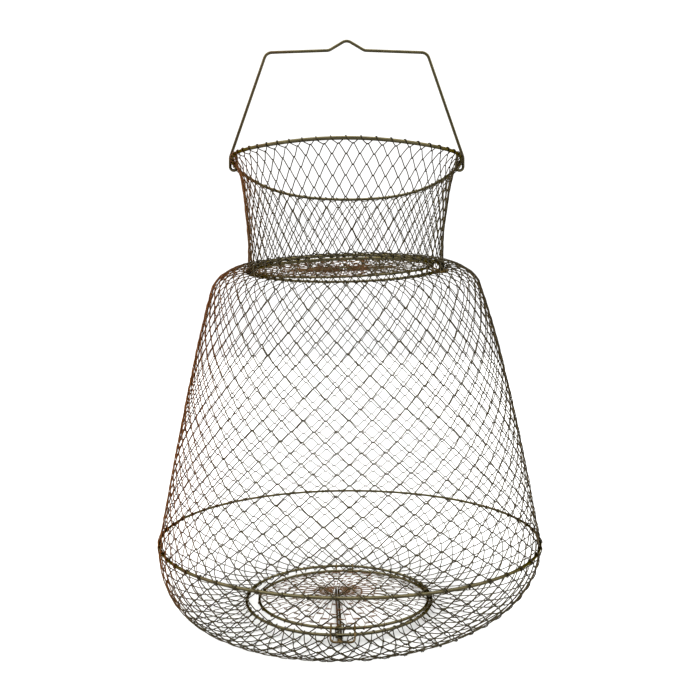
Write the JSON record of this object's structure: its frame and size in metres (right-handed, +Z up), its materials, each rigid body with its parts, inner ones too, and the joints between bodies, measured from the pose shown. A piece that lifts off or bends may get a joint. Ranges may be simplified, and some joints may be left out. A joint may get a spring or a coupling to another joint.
{
  "type": "wire keep net",
  "caption": "Collapsible wire keep net for live fish, with a woven wire cage on hoops, a sprung lid in the neck, a latched bottom door and a wire bail.",
  "frame": {"origin": "on the floor under the middle of the belly hoop, at the centre of the bounding box's base", "axes": "+Z up through the mouth, +X to the basket's right seen from the front, the front and the latch face -Y"},
  "size_m": [0.3324, 0.3324, 0.5067],
  "materials": {
    "brass_wire": "brass plated steel wire, satin, slightly tarnished",
    "spring_wire": "thin plated wire, satin",
    "woven_wire": "dark plated woven wire",
    "gathered_wire": "dark plated woven wire, brown where gathered"
  },
  "bodies": {
    "base": {"belly_hoop": "brass_wire", "bottom_hoop": "brass_wire", "side_net": "woven_wire", "base_net": "woven_wire", "door_hinge_link_left": "spring_wire", "door_hinge_link_right": "spring_wire"},
    "neck": {"neck_hoop": "brass_wire", "neck_net": "woven_wire", "lid_spring": "spring_wire"},
    "rim": {"rim_hoop": "brass_wire"},
    "bail": {"bail_handle": "brass_wire"},
    "lid": {"lid_ring": "brass_wire", "lid_net": "gathered_wire", "lid_net_collar": "brass_wire", "lid_stop_loop": "spring_wire", "lid_hinge_link_front": "spring_wire", "lid_hinge_link_rear": "spring_wire"},
    "door": {"door_ring": "brass_wire", "door_net": "gathered_wire", "door_net_collar": "brass_wire", "door_stop_loop": "spring_wire", "latch_guide_loop": "spring_wire"},
    "latch": {"latch_hairpin": "spring_wire"}
  },
  "joints": [
    {"name": "body_collapse", "type": "slide", "parent": "base", "child": "neck", "axis": [0, 0, 1], "range_m": [-0.2, 0], "deforming": ["side_net"]},
    {"name": "neck_collapse", "type": "slide", "parent": "neck", "child": "rim", "axis": [0, 0, 1], "range_m": [-0.05, 0], "deforming": ["neck_net"]},
    {"name": "bail_swing", "type": "hinge", "parent": "rim", "child": "bail", "pos_m": [-0.003, 0, 0.3949], "axis": [1, 0, 0], "range_deg": [-60, 60]},
    {"name": "lid_hinge", "type": "hinge", "parent": "neck", "child": "lid", "pos_m": [-0.08993, 0, 0.29706], "axis": [0, 0.9997, 0.0237], "range_deg": [0, 80], "stiffness_Nm_per_rad": 0.02, "springref_deg": -57.3, "deforming": ["lid_spring"]},
    {"name": "door_hinge", "type": "hinge", "parent": "base", "child": "door", "pos_m": [-0.0056, 0.07483, 0.003], "axis": [-1, 0, 0], "range_deg": [0, 85]},
    {"name": "latch_slide", "type": "slide", "parent": "door", "child": "latch", "axis": [-0.041, 0.9992, 0], "range_m": [0, 0.007], "stiffness_N_per_m": 150, "springref_m": -0.01}
  ],
  "couplings": [
    {"joint": "neck_collapse", "follows": "body_collapse", "ratio": 0.25}
  ]
}
